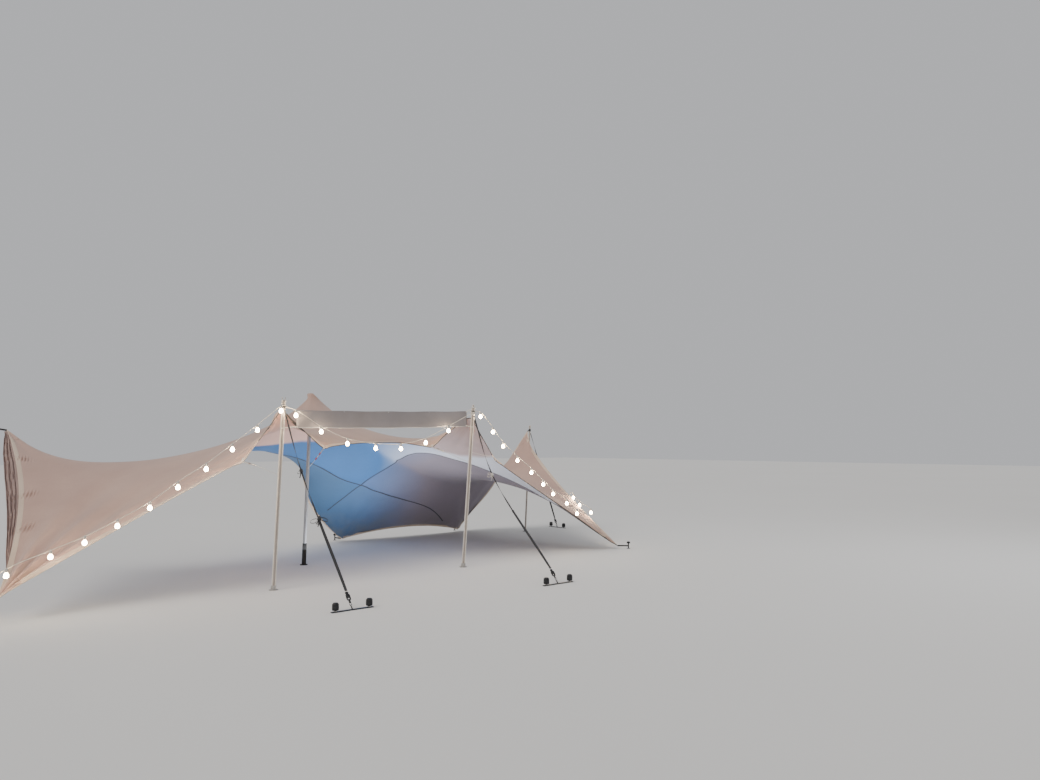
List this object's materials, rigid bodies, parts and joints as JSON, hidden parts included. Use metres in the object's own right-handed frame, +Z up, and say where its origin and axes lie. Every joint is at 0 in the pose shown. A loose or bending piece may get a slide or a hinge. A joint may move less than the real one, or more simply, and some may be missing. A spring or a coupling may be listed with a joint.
{
  "type": "stretch tent",
  "caption": "Stretch tent: one sheet of stretch fabric raised on poles, guyed and pegged at the ground, with a plain banner and strings of festoon lamps along the open front.",
  "frame": {"origin": "under the foot of the king pole, at ground level", "axes": "+X along the open front from left to right, +Y into the tent away from the open front, +Z up"},
  "size_m": [14.542, 7.786, 3.2175],
  "materials": {
    "canopy_fabric": "matt stretch polyester",
    "pole_steel": "dull silver",
    "king_pole_steel": "grey",
    "black_rubber": "matt",
    "black_steel": "satin black",
    "black_webbing": "woven webbing",
    "banner_cloth": "printed banner cloth, left bare",
    "festoon": "warm white lamps on a light cable"
  },
  "bodies": {
    "root": {"anchor_front_left": "black_steel", "anchor_front_right": "black_steel", "anchor_side_left": "black_steel", "anchor_side_right": "black_steel", "banner": "banner_cloth", "boot_front_left": "pole_steel", "boot_front_right": "pole_steel", "boot_king": "black_rubber", "boot_side_left": "pole_steel", "boot_side_right": "pole_steel", "canopy": "canopy_fabric", "festoon_left": "festoon", "festoon_middle": "festoon", "festoon_right": "festoon", "guy_front_left": "black_webbing", "guy_front_right": "black_webbing", "guy_side_left": "black_webbing", "guy_side_right": "black_webbing", "head_front_left": "pole_steel", "head_front_right": "pole_steel", "head_king": "black_rubber", "head_side_left": "pole_steel", "head_side_right": "pole_steel", "head_strap_front_left": "black_webbing", "head_strap_front_right": "black_webbing", "head_strap_side_left": "black_webbing", "head_strap_side_right": "black_webbing", "peg_corner_left": "black_steel", "peg_corner_right": "black_steel", "peg_rear_left": "black_steel", "peg_rear_right": "black_steel", "peg_strap_corner_left": "black_webbing", "peg_strap_corner_right": "black_webbing", "peg_strap_rear_left": "black_webbing", "peg_strap_rear_right": "black_webbing", "pole_front_left": "pole_steel", "pole_front_right": "pole_steel", "pole_king": "king_pole_steel", "pole_side_left": "pole_steel", "pole_side_right": "pole_steel", "ratchet_front_left": "black_steel", "ratchet_front_right": "black_steel", "ratchet_side_left": "black_steel", "ratchet_side_right": "black_steel"}
  },
  "joints": []
}
